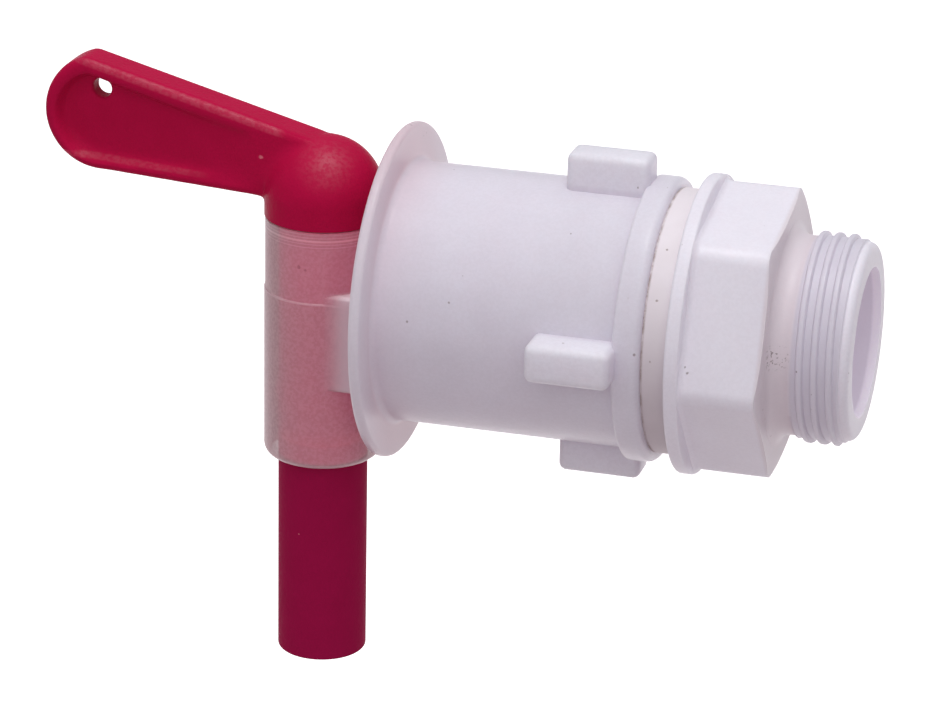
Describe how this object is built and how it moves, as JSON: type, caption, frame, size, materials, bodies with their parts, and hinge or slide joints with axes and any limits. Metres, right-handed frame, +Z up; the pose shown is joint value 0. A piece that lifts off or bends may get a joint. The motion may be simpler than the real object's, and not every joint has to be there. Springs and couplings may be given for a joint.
{
  "type": "jerrycan tap",
  "caption": "Small pouring tap for a liquid can: translucent body with hand flange and grip lugs, red turning plug with lever and spout, and a hexagonal threaded adapter.",
  "frame": {"origin": "on the thread's axis, in the plane of the adapter's shoulder that seats on the can", "axes": "+X along the thread into the can, +Z up, the spout points to -Z and the lever of the open tap to -X"},
  "size_m": [0.1067, 0.0426, 0.0777],
  "materials": {
    "natural_plastic": "translucent natural polyethylene, satin",
    "red_plastic": "satin gloss",
    "white_plastic": "satin",
    "washer_plastic": "matte",
    "silicone_rubber": "satin, milky"
  },
  "bodies": {
    "body": {"tap_body": "natural_plastic", "sealing_washer": "washer_plastic", "thread_adapter": "white_plastic"},
    "plug": {"turning_plug": "red_plastic", "upper_o_ring": "silicone_rubber", "lower_o_ring": "silicone_rubber"}
  },
  "joints": [
    {"name": "lever_turn", "type": "hinge", "parent": "body", "child": "plug", "pos_m": [-0.06015, 0, 0], "axis": [0, 0, 1], "range_deg": [-110, 110]}
  ]
}
